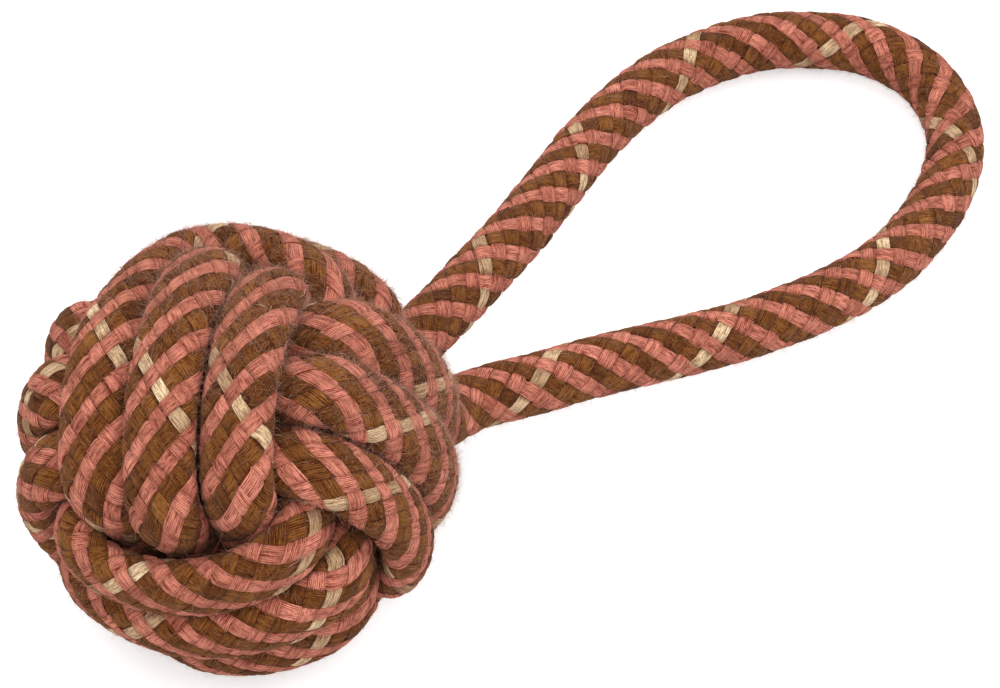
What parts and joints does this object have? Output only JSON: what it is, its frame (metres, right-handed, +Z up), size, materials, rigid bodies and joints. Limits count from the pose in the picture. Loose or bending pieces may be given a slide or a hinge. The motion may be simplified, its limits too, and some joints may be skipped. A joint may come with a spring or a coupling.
{
  "type": "rope dog toy",
  "caption": "ball knot wound from one braided cotton rope round a core, with the rope's end led out as a loop handle for throwing and tugging",
  "frame": {"origin": "in the middle of the ball's resting face", "axes": "+X along the handle from the ball to the loop's tip, +Z up from the ground the toy lies on, +Y across the handle"},
  "size_m": [0.2412, 0.0857, 0.084],
  "materials": {
    "rope": "braided cotton yarn, matt and slightly fuzzy",
    "core": "matt solid rubber"
  },
  "bodies": {
    "ball": {"core_ball": "core", "first_winding": "rope", "second_winding": "rope", "third_winding": "rope", "lower_leg_root": "rope", "upper_leg_root": "rope", "lower_root_bend": "rope", "upper_root_bend": "rope"},
    "legs": {"lower_leg": "rope", "upper_leg": "rope", "lower_fold_bend": "rope", "upper_fold_bend": "rope"},
    "bow": {"loop_bow": "rope"}
  },
  "joints": [
    {"name": "handle_lift", "type": "hinge", "parent": "ball", "child": "legs", "pos_m": [0.0612, -0.0028, 0.0302], "axis": [0, -1, 0], "range_deg": [-70, 80], "stiffness_Nm_per_rad": 0.15, "deforming": ["lower_root_bend", "upper_root_bend"]},
    {"name": "loop_fold", "type": "hinge", "parent": "legs", "child": "bow", "pos_m": [0.1152, -0.0028, 0.02], "axis": [0, -1, 0], "range_deg": [-75, 75], "stiffness_Nm_per_rad": 0.15, "deforming": ["lower_fold_bend", "upper_fold_bend"]}
  ]
}
